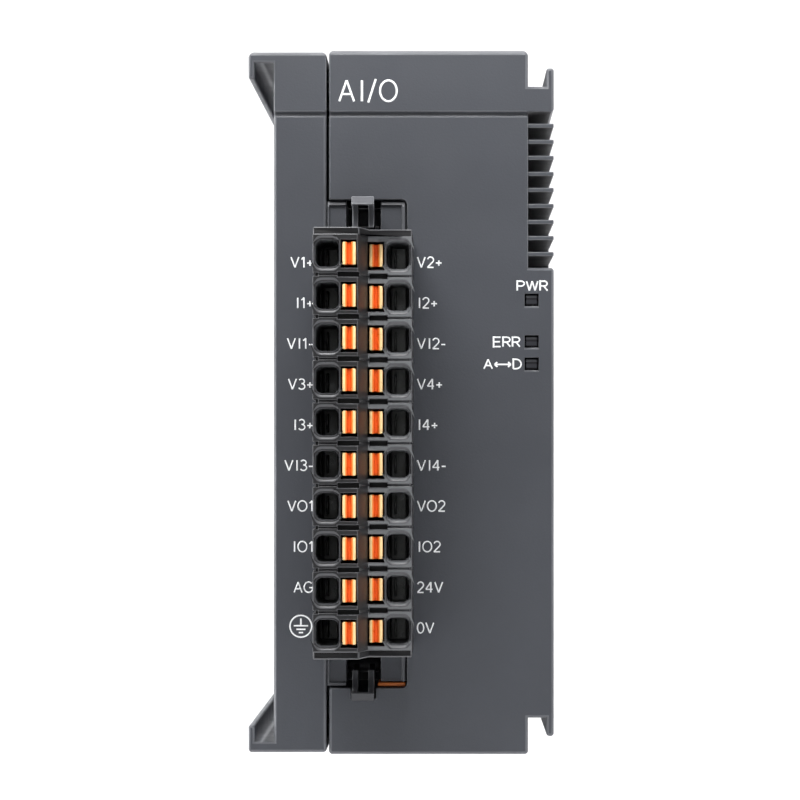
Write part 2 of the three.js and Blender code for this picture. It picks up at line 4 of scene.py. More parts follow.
import bmesh
import bpy
import numpy as np
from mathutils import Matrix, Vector


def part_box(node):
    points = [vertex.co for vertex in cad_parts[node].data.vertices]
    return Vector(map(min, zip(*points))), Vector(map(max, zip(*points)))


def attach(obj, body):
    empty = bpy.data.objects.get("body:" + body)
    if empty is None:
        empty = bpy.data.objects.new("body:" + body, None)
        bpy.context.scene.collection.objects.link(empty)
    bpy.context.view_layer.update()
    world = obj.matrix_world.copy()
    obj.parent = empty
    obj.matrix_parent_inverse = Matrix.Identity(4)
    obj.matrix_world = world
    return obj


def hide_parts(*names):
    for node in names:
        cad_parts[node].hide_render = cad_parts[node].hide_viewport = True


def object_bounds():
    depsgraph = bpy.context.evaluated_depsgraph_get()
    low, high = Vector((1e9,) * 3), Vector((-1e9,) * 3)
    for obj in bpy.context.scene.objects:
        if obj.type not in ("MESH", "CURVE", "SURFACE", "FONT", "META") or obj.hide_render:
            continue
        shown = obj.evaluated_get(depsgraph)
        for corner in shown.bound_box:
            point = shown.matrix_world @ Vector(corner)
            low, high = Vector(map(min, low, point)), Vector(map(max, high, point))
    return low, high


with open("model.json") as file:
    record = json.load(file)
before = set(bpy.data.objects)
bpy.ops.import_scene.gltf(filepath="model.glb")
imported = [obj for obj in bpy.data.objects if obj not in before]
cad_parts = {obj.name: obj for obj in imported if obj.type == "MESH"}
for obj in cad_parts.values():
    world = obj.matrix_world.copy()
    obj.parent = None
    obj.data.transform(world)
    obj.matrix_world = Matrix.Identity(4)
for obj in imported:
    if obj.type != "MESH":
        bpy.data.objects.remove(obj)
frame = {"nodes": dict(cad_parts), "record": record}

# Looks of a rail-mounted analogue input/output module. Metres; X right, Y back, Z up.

CAD_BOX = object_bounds()
MM = 0.001

# ---------------------------------------------------------------- places, from the frame

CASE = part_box("main_case")
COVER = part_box("left_cover")
BLOCK_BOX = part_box("terminal_block")
BLOCK_MIDDLE = (BLOCK_BOX[0].x + BLOCK_BOX[1].x) / 2
FACE = BLOCK_BOX[0].y
FRONT = CASE[0].y
ROWS = 10
LEVERS = [f"lever_{number:02d}" for number in range(1, 2 * ROWS + 1)]
LAMPS = ("power", "error", "convert")
RECORD = frame["record"]
BODY_OF = {node: body for body, nodes in RECORD["behaviour"]["bodies"].items() for node in nodes}


# ---------------------------------------------------------------- camera

# The camera looks straight back along CAMERA_AXIS, and its lens is shifted to VIEW_CENTRE. Its
# distance and the width that it sees are measured at the plane of the front panel.
CAMERA_AXIS = Vector((4.5 * MM, 0, -7.5 * MM))
CAMERA_DISTANCE = 377 * MM
VIEW_WIDTH = 99.95 * MM
VIEW_CENTRE = Vector((-1.72 * MM, 0, 0.27 * MM))
SENSOR = 36


def make_camera():
    data = bpy.data.cameras.new("camera")
    camera = bpy.data.objects.new("camera", data)
    bpy.context.scene.collection.objects.link(camera)
    camera.location = (CAMERA_AXIS.x, FRONT - CAMERA_DISTANCE, CAMERA_AXIS.z)
    camera.rotation_euler = (math.pi / 2, 0, 0)
    data.sensor_width = SENSOR
    data.lens = SENSOR * CAMERA_DISTANCE / VIEW_WIDTH
    data.shift_x = (VIEW_CENTRE.x - CAMERA_AXIS.x) / VIEW_WIDTH
    data.shift_y = (VIEW_CENTRE.z - CAMERA_AXIS.z) / VIEW_WIDTH
    data.clip_start = 0.01
    data.clip_end = 20
    bpy.context.scene.camera = camera


make_camera()


# ---------------------------------------------------------------- materials

HOUSING = (0.0495, 0.0535, 0.0640)
# Paler colour for the housing's rounded edges: a painted highlight.
HOUSING_EDGE_HIGHLIGHT = (0.096, 0.100, 0.111)
HOUSING_PAINTED_SHADE = (0.020, 0.020, 0.023)
HEADER_LIP_HIGHLIGHT = (0.30, 0.305, 0.32)
BLOCK = (0.0155, 0.0155, 0.0168)
BLOCK_EDGE_HIGHLIGHT = (0.070, 0.071, 0.077)
BLOCK_PAINTED_SHADE = (0.0115, 0.0115, 0.0125)
BLOCK_ENTRY_PAINTED_LIGHT = (0.130, 0.136, 0.142)
LATCH = (0.082, 0.085, 0.096)
LATCH_EDGE_HIGHLIGHT = (0.20, 0.205, 0.22)
LATCH_PAINTED_SHADE = (0.020, 0.021, 0.025)
LEVER_FLANK = (0.85, 0.25, 0.04)
# Pale ridge tone for the levers: a painted highlight.
LEVER_RIDGE_HIGHLIGHT = (1.0, 0.74, 0.36)
LEVER_SLOPE = (0.95, 0.27, 0.035)
LEVER_GROOVE = (0.92, 0.125, 0.012)
KEY = (0.78, 0.20, 0.035)
RESIN = (0.018, 0.018, 0.020)
WHITE = (0.90, 0.91, 0.92)
LENS_FOOT = (0.010, 0.010, 0.013)
LENS_HEAD = (0.008, 0.008, 0.010)
LENS = (0.010, 0.010, 0.013)
# Paler lens tones: painted reflections.
LENS_REFLECTION = (0.026, 0.027, 0.033)
LENS_REFLECTION_BAND = (0.066, 0.068, 0.077)
LABEL = (0.27, 0.275, 0.285)
LABEL_RULE = (0.05, 0.052, 0.058)
TIN = ((0.42, 0.38, 0.30), (0.68, 0.62, 0.50))
SHADED_TIN = ((0.085, 0.09, 0.09), (0.15, 0.155, 0.15))
MASK = ((0.012, 0.075, 0.030), (0.016, 0.095, 0.036))
TRACK = (0.030, 0.150, 0.060)
PAPER = (0.86, 0.86, 0.87)

# Tones across a lever, from its left flank to its right one, and up a lamp window, from 0 to 1
LEVER_TONES = ((0.04, LEVER_RIDGE_HIGHLIGHT), (0.17, LEVER_RIDGE_HIGHLIGHT), (0.25, LEVER_SLOPE), (0.34, LEVER_GROOVE),
               (0.64, LEVER_GROOVE), (0.74, LEVER_SLOPE), (0.83, LEVER_RIDGE_HIGHLIGHT), (0.96, LEVER_RIDGE_HIGHLIGHT))
LENS_TONES = ((0.26, LENS), (0.31, LENS_REFLECTION), (0.47, LENS_REFLECTION), (0.52, LENS),
              (0.60, LENS), (0.64, LENS_REFLECTION_BAND), (0.72, LENS_REFLECTION_BAND), (0.76, LENS))

# Moulded plastic: noise scales of its tone, of its handling and of its two grains, how far
# handling moves its roughness, and how deep its faces sink
TONE_SCALE = 45
HANDLING_SCALE = 160
COARSE_GRAIN = 2600
FINE_GRAIN = 3200
HANDLING = 0.07
SINK = 0.03 * MM


def new_material(name):
    material = bpy.data.materials.new(name)
    material.use_nodes = True
    nodes = material.node_tree.nodes
    return material, nodes, material.node_tree.links, nodes["Principled BSDF"]


def noise(nodes, links, coordinates, scale, detail=2.0, rough=0.5):
    texture = nodes.new("ShaderNodeTexNoise")
    texture.inputs["Scale"].default_value = scale
    texture.inputs["Detail"].default_value = detail
    texture.inputs["Roughness"].default_value = rough
    links.new(coordinates, texture.inputs["Vector"])
    return texture.outputs["Fac"]


def remap(nodes, links, value, low, high, source=(0.3, 0.7)):
    node = nodes.new("ShaderNodeMapRange")
    node.inputs["From Min"].default_value = source[0]
    node.inputs["From Max"].default_value = source[1]
    node.inputs["To Min"].default_value = low
    node.inputs["To Max"].default_value = high
    links.new(value, node.inputs["Value"])
    return node.outputs["Result"]


def two_tone(nodes, links, value, dark, light, source=(0.35, 0.65)):
    ramp = nodes.new("ShaderNodeValToRGB")
    ramp.color_ramp.elements[0].position = source[0]
    ramp.color_ramp.elements[1].position = source[1]
    ramp.color_ramp.elements[0].color = (*dark, 1)
    ramp.color_ramp.elements[1].color = (*light, 1)
    links.new(value, ramp.inputs["Fac"])
    return ramp.outputs["Color"]


def bump(nodes, links, height, depth, below=None):
    node = nodes.new("ShaderNodeBump")
    node.inputs["Distance"].default_value = depth
    links.new(height, node.inputs["Height"])
    if below is not None:
        links.new(below, node.inputs["Normal"])
    return node.outputs["Normal"]


def shade(colour, factor):
    return tuple(channel * factor for channel in colour)


def tones(nodes, links, value, ends, stops, blend="LINEAR"):
    """A ramp with a colour at each end and at each of the stops between them."""
    ramp = nodes.new("ShaderNodeValToRGB")
    ramp.color_ramp.interpolation = blend
    for element, position, colour in zip(ramp.color_ramp.elements, (0, 1), ends):
        element.position = position
        element.color = (*colour, 1)
    for position, colour in stops:
        ramp.color_ramp.elements.new(position).color = (*colour, 1)
    links.new(value, ramp.inputs["Fac"])
    return ramp.outputs["Color"]


def moulded_plastic(name, colour, roughness, grain=FINE_GRAIN, grain_depth=0.02 * MM, spread=0.06,
                    shine=0.5):
    """Plastic with a spark-eroded grain, slow tone changes, and a gloss that varies with handling."""
    material, nodes, links, shader = new_material(name)
    place = nodes.new("ShaderNodeTexCoord").outputs["Object"]
    slow = noise(nodes, links, place, TONE_SCALE, 3)
    fine = noise(nodes, links, place, grain, 2, 0.6)
    handled = noise(nodes, links, place, HANDLING_SCALE, 4, 0.65)
    tone = two_tone(nodes, links, slow, shade(colour, 1 - spread), shade(colour, 1 + spread))
    links.new(tone, shader.inputs["Base Color"])
    gloss = remap(nodes, links, handled, roughness - HANDLING, roughness + HANDLING)
    links.new(gloss, shader.inputs["Roughness"])
    shader.inputs["Specular IOR Level"].default_value = shine
    sink = bump(nodes, links, slow, SINK)
    links.new(bump(nodes, links, fine, grain_depth, sink), shader.inputs["Normal"])
    return material


def lever_plastic():
    """Glossy orange plastic, with painted highlights as paler tones along the two finger ridges, and deeper
    in the groove between them.
    """
    material, nodes, links, shader = new_material("lever_plastic")
    coordinates = nodes.new("ShaderNodeTexCoord")
    across = nodes.new("ShaderNodeSeparateXYZ")
    links.new(coordinates.outputs["Generated"], across.inputs["Vector"])
    flanks = (LEVER_FLANK, LEVER_FLANK)
    ridged = tones(nodes, links, across.outputs["X"], flanks, LEVER_TONES, "EASE")
    fine = noise(nodes, links, coordinates.outputs["Object"], 1500, 3, 0.6)
    tinted = nodes.new("ShaderNodeMix")
    tinted.data_type = "RGBA"
    tinted.blend_type = "MULTIPLY"
    tinted.inputs["Factor"].default_value = 1.0
    links.new(ridged, tinted.inputs[6])
    links.new(two_tone(nodes, links, fine, (0.92, 0.90, 0.88), (1, 1, 1)), tinted.inputs[7])
    links.new(tinted.outputs[2], shader.inputs["Base Color"])
    links.new(remap(nodes, links, fine, 0.26, 0.38), shader.inputs["Roughness"])
    links.new(bump(nodes, links, fine, 0.006 * MM), shader.inputs["Normal"])
    return material


GRAIN_DEPTH = 0.012 * MM
HOUSING_PLASTIC = moulded_plastic("housing_plastic", HOUSING, 0.46)
BLOCK_PLASTIC = moulded_plastic("block_plastic", BLOCK, 0.44, COARSE_GRAIN, GRAIN_DEPTH, shine=0.35)
LATCH_PLASTIC = moulded_plastic("latch_plastic", LATCH, 0.42, COARSE_GRAIN, GRAIN_DEPTH)
# The bottom latch is the same plastic as the top one, painted darker as shade.
SHADED_LATCH_PLASTIC = moulded_plastic("latch_plastic_painted_shade", LATCH_PAINTED_SHADE, 0.48, COARSE_GRAIN, GRAIN_DEPTH)
# Darker copy of the block plastic for the strips at the top and bottom of its face: painted shade.
SHADE_PLASTIC = moulded_plastic("block_plastic_painted_shade", BLOCK_PAINTED_SHADE, 0.6, COARSE_GRAIN, GRAIN_DEPTH, shine=0.15)
# Darker copy of the housing plastic for the faces inside the louvre: painted shade.
LOUVRE_SHADOW_PLASTIC = moulded_plastic("housing_plastic_painted_shade", HOUSING_PAINTED_SHADE, 0.55)
# Pale copy of the block plastic for the walls deep in the wire entries: painted light.
ENTRY_LIGHT_PLASTIC = moulded_plastic("block_plastic_entry_painted_light", BLOCK_ENTRY_PAINTED_LIGHT, 0.5, COARSE_GRAIN, GRAIN_DEPTH)
# Pale plastic for the header's upper lip: a painted highlight.
LIP_HIGHLIGHT_PLASTIC = moulded_plastic("header_lip_painted_highlight", HEADER_LIP_HIGHLIGHT, 0.45, COARSE_GRAIN, 0.008 * MM, 0.12)
# Rounded edges are painted paler than the faces as a painted highlight, and they are rubbed smooth, with
# less grain.
WORN_EDGE_HIGHLIGHT = {
    HOUSING_PLASTIC:
        moulded_plastic("housing_plastic_edge_highlight", HOUSING_EDGE_HIGHLIGHT, 0.46, FINE_GRAIN, 0.006 * MM, 0.18),
    BLOCK_PLASTIC:
        moulded_plastic("block_plastic_edge_highlight", BLOCK_EDGE_HIGHLIGHT, 0.34, COARSE_GRAIN, 0.005 * MM, 0.18),
    LATCH_PLASTIC:
        moulded_plastic("latch_plastic_edge_highlight", LATCH_EDGE_HIGHLIGHT, 0.34, COARSE_GRAIN, 0.005 * MM, 0.18),
}
LEVER_PLASTIC = lever_plastic()
KEY_PLASTIC = moulded_plastic("key_plastic", KEY, 0.4, 2200, 0.006 * MM, 0.05)
CHIP_RESIN = moulded_plastic("chip_resin", RESIN, 0.55, 4000, GRAIN_DEPTH)
INK = moulded_plastic("white_ink", WHITE, 0.5, 5000, 0.004 * MM, 0.03)


def lens_plastic():
    """Smoked window, with two paler bands painted in as reflections."""
    material, nodes, links, shader = new_material("lens_plastic")
    coordinates = nodes.new("ShaderNodeTexCoord")
    up = nodes.new("ShaderNodeSeparateXYZ")
    links.new(coordinates.outputs["Generated"], up.inputs["Vector"])
    banded = tones(nodes, links, up.outputs["Z"], (LENS_FOOT, LENS_HEAD), LENS_TONES)
    links.new(banded, shader.inputs["Base Color"])
    fine = noise(nodes, links, coordinates.outputs["Object"], 900, 2)
    links.new(remap(nodes, links, fine, 0.18, 0.28), shader.inputs["Roughness"])
    shader.inputs["Specular IOR Level"].default_value = 0.35
    links.new(bump(nodes, links, fine, 0.004 * MM), shader.inputs["Normal"])
    return material


def label_film():
    """Grey film printed with an empty table of ruled rows and columns."""
    material, nodes, links, shader = new_material("label_film")
    coordinates = nodes.new("ShaderNodeTexCoord")
    turned = nodes.new("ShaderNodeMapping")
    turned.inputs["Rotation"].default_value = (0, math.pi / 2, 0)
    links.new(coordinates.outputs["Generated"], turned.inputs["Vector"])
    table = nodes.new("ShaderNodeTexBrick")
    table.offset = 0
    table.inputs["Scale"].default_value = 1
    table.inputs["Brick Width"].default_value = 0.25
    table.inputs["Row Height"].default_value = 0.125
    table.inputs["Mortar Size"].default_value = 0.006
    table.inputs["Mortar Smooth"].default_value = 0.2
    table.inputs["Color1"].default_value = (*LABEL, 1)
    table.inputs["Color2"].default_value = (*shade(LABEL, 0.93), 1)
    table.inputs["Mortar"].default_value = (*LABEL_RULE, 1)
    links.new(turned.outputs["Vector"], table.inputs["Vector"])
    links.new(table.outputs["Color"], shader.inputs["Base Color"])
    fine = noise(nodes, links, coordinates.outputs["Object"], 1400, 3)
    links.new(remap(nodes, links, fine, 0.38, 0.52), shader.inputs["Roughness"])
    links.new(bump(nodes, links, fine, 0.004 * MM), shader.inputs["Normal"])
    return material


LENS_PLASTIC = lens_plastic()
LABEL_FILM = label_film()


def contact_metal(name, dark, light, metallic=1.0):
    """Mottled tin plate over a copper alloy."""
    material, nodes, links, shader = new_material(name)
    place = nodes.new("ShaderNodeTexCoord").outputs["Object"]
    mottle = noise(nodes, links, place, 700, 4)
    links.new(two_tone(nodes, links, mottle, dark, light), shader.inputs["Base Color"])
    links.new(remap(nodes, links, mottle, 0.22, 0.42), shader.inputs["Roughness"])
    links.new(bump(nodes, links, mottle, 0.01 * MM), shader.inputs["Normal"])
    shader.inputs["Metallic"].default_value = metallic
    return material


def board_laminate():
    """Green solder mask over copper tracks that show as slightly raised, lighter lines."""
    material, nodes, links, shader = new_material("board_laminate")
    place = nodes.new("ShaderNodeTexCoord").outputs["Object"]
    tracks = nodes.new("ShaderNodeTexBrick")
    tracks.inputs["Scale"].default_value = 420
    tracks.inputs["Mortar Size"].default_value = 0.08
    tracks.inputs["Color1"].default_value = (*MASK[0], 1)
    tracks.inputs["Color2"].default_value = (*MASK[1], 1)
    tracks.inputs["Mortar"].default_value = (*TRACK, 1)
    turned = nodes.new("ShaderNodeMapping")
    turned.inputs["Rotation"].default_value = (0, math.pi / 2, 0)
    links.new(place, turned.inputs["Vector"])
    links.new(turned.outputs["Vector"], tracks.inputs["Vector"])
    links.new(tracks.outputs["Color"], shader.inputs["Base Color"])
    links.new(remap(nodes, links, noise(nodes, links, place, 600), 0.30, 0.42), shader.inputs["Roughness"])
    links.new(bump(nodes, links, tracks.outputs["Fac"], 0.02 * MM), shader.inputs["Normal"])
    return material


CONTACT_METAL = contact_metal("contact_metal", *TIN)
# Darker copy of the tin for the contact strips deep in the wire entries: painted shade.
SHADED_METAL = contact_metal("contact_metal_painted_shade", *SHADED_TIN, 0.25)
BOARD_LAMINATE = board_laminate()


# ---------------------------------------------------------------- CAD solids with rounded edges

CREASE = math.radians(32)
FLAT = math.radians(0.5)
WELD = 0.002 * MM
NARROWEST = 0.03 * MM
SAME_PLANE = 0.01 * MM
PARALLEL = 0.99
RUNS_ON = -0.8
SLIGHT_BEND = 0.2
PROBES = (0.03, 0.5, 0.97)


def sharp_edges(mesh):
    return [edge for edge in mesh.edges if len(edge.link_faces) == 2 and edge.calc_face_angle(0) > CREASE]


def chains(edges):
    """A number for each edge, the same for edges that run on into each other without a corner."""
    parent = {edge.index: edge.index for edge in edges}

    def root(index):
        while parent[index] != index:
            index = parent[index]
        return index

    for edge in edges:
        for vertex in edge.verts:
            way = (edge.other_vert(vertex).co - vertex.co).normalized()
            for other in vertex.link_edges:
                if other is edge or other.index not in parent:
                    continue
                onward = (other.other_vert(vertex).co - vertex.co).normalized()
                if way.dot(onward) < RUNS_ON:
                    parent[root(other.index)] = root(edge.index)
    return np.array([root(edge.index) for edge in edges])


def room_beside(edges, reach):
    """How far each sharp edge is from the next one across either of its faces, up to reach."""
    a = np.array([edge.verts[0].co for edge in edges])
    b = np.array([edge.verts[1].co for edge in edges])
    ends = np.array([[edge.verts[0].index, edge.verts[1].index] for edge in edges])
    normals = np.array([[face.normal for face in edge.link_faces] for edge in edges])
    chain = chains(edges)
    along = b - a
    length2 = np.maximum((along ** 2).sum(1), 1e-18)
    room = np.full(len(edges), reach)
    for i in range(len(edges)):
        low = np.minimum(a[i], b[i]) - reach
        high = np.maximum(a[i], b[i]) + reach
        near = np.all(np.maximum(a, b) > low, 1) & np.all(np.minimum(a, b) < high, 1)
        near &= ~((ends == ends[i, 0]).any(1) | (ends == ends[i, 1]).any(1))
        chosen = np.nonzero(near)[0]
        if not len(chosen):
            continue
        for side in (0, 1):
            normal, wall = normals[i, side], normals[i, 1 - side]
            start_off = abs((a[chosen] - a[i]) @ normal)
            end_off = abs((b[chosen] - a[i]) @ normal)
            js = chosen[np.maximum(start_off, end_off) < SAME_PLANE]
            if not len(js):
                continue
            shares_face = abs(normals[js, 0] @ normal) > PARALLEL
            bend = np.where(shares_face, normals[js, 1] @ wall, normals[js, 0] @ wall)
            js = js[~((chain[js] == chain[i]) & (bend > SLIGHT_BEND))]
            if not len(js):
                continue
            for share in PROBES:
                point = a[i] + along[i] * share
                t = np.clip(((point - a[js]) * along[js]).sum(1) / length2[js], 0, 1)
                gap = np.sqrt(((a[js] + along[js] * t[:, None] - point) ** 2).sum(1)).min()
                room[i] = min(room[i], gap)
    return room


def within(point, box):
    return all(box[0][k] <= point[k] <= box[1][k] for k in range(3))


def edge_width(edge, width, caps, fixed):
    """The rounding of an edge, after the boxes that limit it and the boxes that set it."""
    middle = (edge.verts[0].co + edge.verts[1].co) / 2
    for low, high, cap in caps:
        if within(middle, (low, high)):
            width = min(width, cap)
    for low, high, exact in fixed:
        if within(middle, (low, high)):
            width = exact
    return width


def rounded(node, material, widest, segments=3, share=0.34, caps=(), fixed=(), patches=(),
            levels=(), profile=0.5):
    """A finished copy of a CAD solid. Each outer edge is rounded by this share of the room beside
    it, up to widest. Each of the caps is a box in which edges are rounded no further than its own
    width, and each of the fixed boxes gives its edges exactly its own width. Each of the patches
    is a box and a material for the faces in it, after the faces are cut at the heights in levels."""
    source = frame["nodes"][node]
    mesh = bmesh.new()
    mesh.from_mesh(source.data)
    weight = mesh.edges.layers.float.new("bevel_weight_edge")
    bmesh.ops.remove_doubles(mesh, verts=mesh.verts, dist=WELD)
    bmesh.ops.dissolve_limit(mesh, angle_limit=FLAT, verts=mesh.verts, edges=mesh.edges)
    for level in levels:
        everything = [*mesh.verts, *mesh.edges, *mesh.faces]
        bmesh.ops.bisect_plane(mesh, geom=everything, plane_co=(0, 0, level), plane_no=(0, 0, 1), dist=1e-7)
    mesh.verts.index_update()
    mesh.edges.index_update()
    mesh.normal_update()
    edges = sharp_edges(mesh)
    widths = np.clip(share * room_beside(edges, widest / share), NARROWEST, widest)
    for edge, width in zip(edges, widths):
        if edge.is_convex:
            edge[weight] = edge_width(edge, width, caps, fixed) / widest
        else:
            edge.smooth = False
    for face in mesh.faces:
        face.smooth = True
        for index, (box, _) in enumerate(patches):
            if within(face.calc_center_median(), box):
                face.material_index = 2 + index
    data = bpy.data.meshes.new(f"{node}_moulding")
    mesh.to_mesh(data)
    mesh.free()
    data.materials.append(material)
    data.materials.append(WORN_EDGE_HIGHLIGHT.get(material, material))
    for _, other in patches:
        data.materials.append(other)
    piece = bpy.data.objects.new(f"{node}_moulding", data)
    bpy.context.scene.collection.objects.link(piece)
    bevel = piece.modifiers.new("edges", "BEVEL")
    bevel.width = widest
    bevel.segments = segments
    bevel.material = 1
    bevel.profile = profile
    bevel.limit_method = "WEIGHT"
    bevel.use_clamp_overlap = False
    bevel.loop_slide = False
    weighted = piece.modifiers.new("normals", "WEIGHTED_NORMAL")
    weighted.weight = 100
    weighted.keep_sharp = True
    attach(piece, BODY_OF[node])
    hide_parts(node)


def dress(node, material, edge, segments=1):
    """Gives an inner CAD node its material and rounds its edges, by modifiers alone."""
    piece = frame["nodes"][node]
    piece.data.materials.clear()
    piece.data.materials.append(material)
    piece.modifiers.new("weld", "WELD").merge_threshold = WELD
    flat = piece.modifiers.new("flat", "DECIMATE")
    flat.decimate_type = "DISSOLVE"
    flat.angle_limit = FLAT
    bevel = piece.modifiers.new("edges", "BEVEL")
    bevel.width = edge
    bevel.segments = segments
    bevel.limit_method = "ANGLE"
    bevel.angle_limit = CREASE
    for polygon in piece.data.polygons:
        polygon.use_smooth = True
    piece.modifiers.new("normals", "WEIGHTED_NORMAL").weight = 100


def box_around(node, margin):
    low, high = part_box(node)
    return [[c - margin for c in low], [c + margin for c in high]]


# Boxes for rounded(): two corners, and a width where the box limits or sets the rounding. FAR is
# past the object on every side, and PROUD is just past a face.
FAR = 1
PROUD = 1 * MM
SHELL_ROUND = 0.64 * MM
SHELL_PROFILE = 0.42
SIDE_ROUND = 0.36 * MM
LAMP_EDGE = 0.05 * MM
SILL_EDGE = 0.27 * MM
SILL = 0.6 * MM
POCKET_TOP = 25.1 * MM
COVER_SEAM = COVER[1].x
SEAM_HALF = 42.5 * MM

LAMP_CAPS = [(*box_around(f"lamp_pipe_{lamp}", 0.8 * MM), LAMP_EDGE) for lamp in LAMPS]
LAMP_SILLS = []
for lamp in LAMPS:
    low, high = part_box(f"lamp_pipe_{lamp}")
    LAMP_SILLS.append(([low.x, FRONT - PROUD, low.z], [high.x, FRONT + 0.2 * MM, low.z + SILL], SILL_EDGE))
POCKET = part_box("terminal_header")
POCKET_CAP = ([POCKET[0].x - PROUD, FRONT - PROUD, POCKET[0].z - 2 * MM],
              [POCKET[1].x + 0.4 * MM, FRONT + 4 * MM, POCKET[1].z + PROUD], 0.16 * MM)
LOUVRE_CAP = ([14.2 * MM, FRONT - PROUD, 16.9 * MM], [18 * MM, FRONT + 30 * MM, 36.2 * MM], 0.14 * MM)
# The faces inside the louvre, which are painted dark as shade.
LOUVRE_SHADE_BOX = ([13.9 * MM, FRONT + 0.5 * MM, 16.7 * MM], [17.3 * MM, FRONT + 30 * MM, 36.5 * MM])
SEAM_CAP = ([COVER_SEAM - 0.5 * MM, FRONT - PROUD, -SEAM_HALF],
            [COVER_SEAM + 0.8 * MM, FRONT + PROUD, SEAM_HALF], 0.2 * MM)
SIDES = ([-FAR, -FAR, -FAR], [FAR, FAR, COVER[1].z - 0.1 * MM], SIDE_ROUND)
CASE_CAPS = [*LAMP_CAPS, POCKET_CAP, LOUVRE_CAP, SEAM_CAP, SIDES]

# The header's front rim, below and above the height where its lit lip starts. The lip is painted pale as a
# painted highlight, and the rim below is painted in the paler edge colour as a painted highlight.
RIM_BACK = POCKET[0].y + 0.02 * MM
LIP = POCKET_TOP - 0.62 * MM
UPPER_LIP = ([-FAR, -FAR, LIP], [FAR, RIM_BACK, FAR])
LOWER_RIM = ([-FAR, -FAR, -FAR], [FAR, RIM_BACK, LIP])

# The wire entries behind their funnels, whose walls are painted pale as painted light inside the holes, and
# the strips at the top and bottom of the block's face, which are painted dark as painted shade
COLUMN = 4.15 * MM
ENTRY_HALF = 1.45 * MM
FUNNEL = 1.3 * MM
STRIP = 1.65 * MM
STRIP_BACK = FACE + 5.2 * MM
ENTRIES = [([BLOCK_MIDDLE + side * COLUMN - ENTRY_HALF, FACE + FUNNEL, -FAR],
            [BLOCK_MIDDLE + side * COLUMN + ENTRY_HALF, FRONT, FAR]) for side in (-1, 1)]
TOP_STRIP = ([-FAR, -FAR, BLOCK_BOX[1].z - STRIP], [FAR, STRIP_BACK, FAR])
BOTTOM_STRIP = ([-FAR, -FAR, -FAR], [FAR, STRIP_BACK, BLOCK_BOX[0].z + STRIP])
BLOCK_PATCHES = [(box, ENTRY_LIGHT_PLASTIC) for box in ENTRIES]
BLOCK_PATCHES += [(box, SHADE_PLASTIC) for box in (TOP_STRIP, BOTTOM_STRIP)]

rounded("main_case", HOUSING_PLASTIC, SHELL_ROUND, 4, caps=CASE_CAPS, fixed=LAMP_SILLS,
        patches=[(LOUVRE_SHADE_BOX, LOUVRE_SHADOW_PLASTIC)], profile=SHELL_PROFILE)
rounded("left_cover", HOUSING_PLASTIC, SHELL_ROUND, 4, caps=[SEAM_CAP, SIDES], profile=SHELL_PROFILE)
rounded("rear_base", HOUSING_PLASTIC, 0.4 * MM)
rounded("terminal_header", HOUSING_PLASTIC, 0.12 * MM, levels=[LIP],
        patches=[(UPPER_LIP, LIP_HIGHLIGHT_PLASTIC), (LOWER_RIM, WORN_EDGE_HIGHLIGHT[HOUSING_PLASTIC])])
rounded("terminal_block", BLOCK_PLASTIC, 0.18 * MM, share=0.44, caps=[(*TOP_STRIP, 0.12 * MM)],
        patches=BLOCK_PATCHES)
rounded("latch_top", LATCH_PLASTIC, 0.14 * MM)
rounded("latch_bottom", SHADED_LATCH_PLASTIC, 0.14 * MM)
rounded("rail_clip", LATCH_PLASTIC, 0.25 * MM)
for node in LEVERS:
    rounded(node, LEVER_PLASTIC, 0.12 * MM)
rounded("coding_strip", KEY_PLASTIC, 0.1 * MM)
for node in ("bus_plug", "bus_socket"):
    rounded(node, BLOCK_PLASTIC, 0.25 * MM)
for node in ("pin_row_left", "pin_row_right", "earth_contact"):
    dress(node, CONTACT_METAL, 0.05 * MM)
for node in ("contact_strip_left", "contact_strip_right"):
    dress(node, SHADED_METAL, 0.05 * MM)
for node in ("circuit_board", "terminal_board"):
    dress(node, BOARD_LAMINATE, 0.10 * MM)
for node in ("logic_chip", "isolating_transformer", "smoothing_capacitor"):
    dress(node, CHIP_RESIN, 0.20 * MM, 2)
for lamp in LAMPS:
    dress(f"lamp_pipe_{lamp}", LENS_PLASTIC, 0.10 * MM, 2)
    dress(f"lamp_{lamp}", LENS_PLASTIC, 0.10 * MM, 2)
dress("side_label", LABEL_FILM, 0.04 * MM)


# ---------------------------------------------------------------- printed marks

INK_THICKNESS = 0.02 * MM
SHARP_TURN = math.radians(40)
ACUTE_TURN = math.radians(100)


def arc(x, y, rx, ry, start, end, steps=8):
    turns = (math.radians(start + (end - start) * i / steps) for i in range(steps + 1))
    return [(x + rx * math.cos(turn), y + ry * math.sin(turn)) for turn in turns]


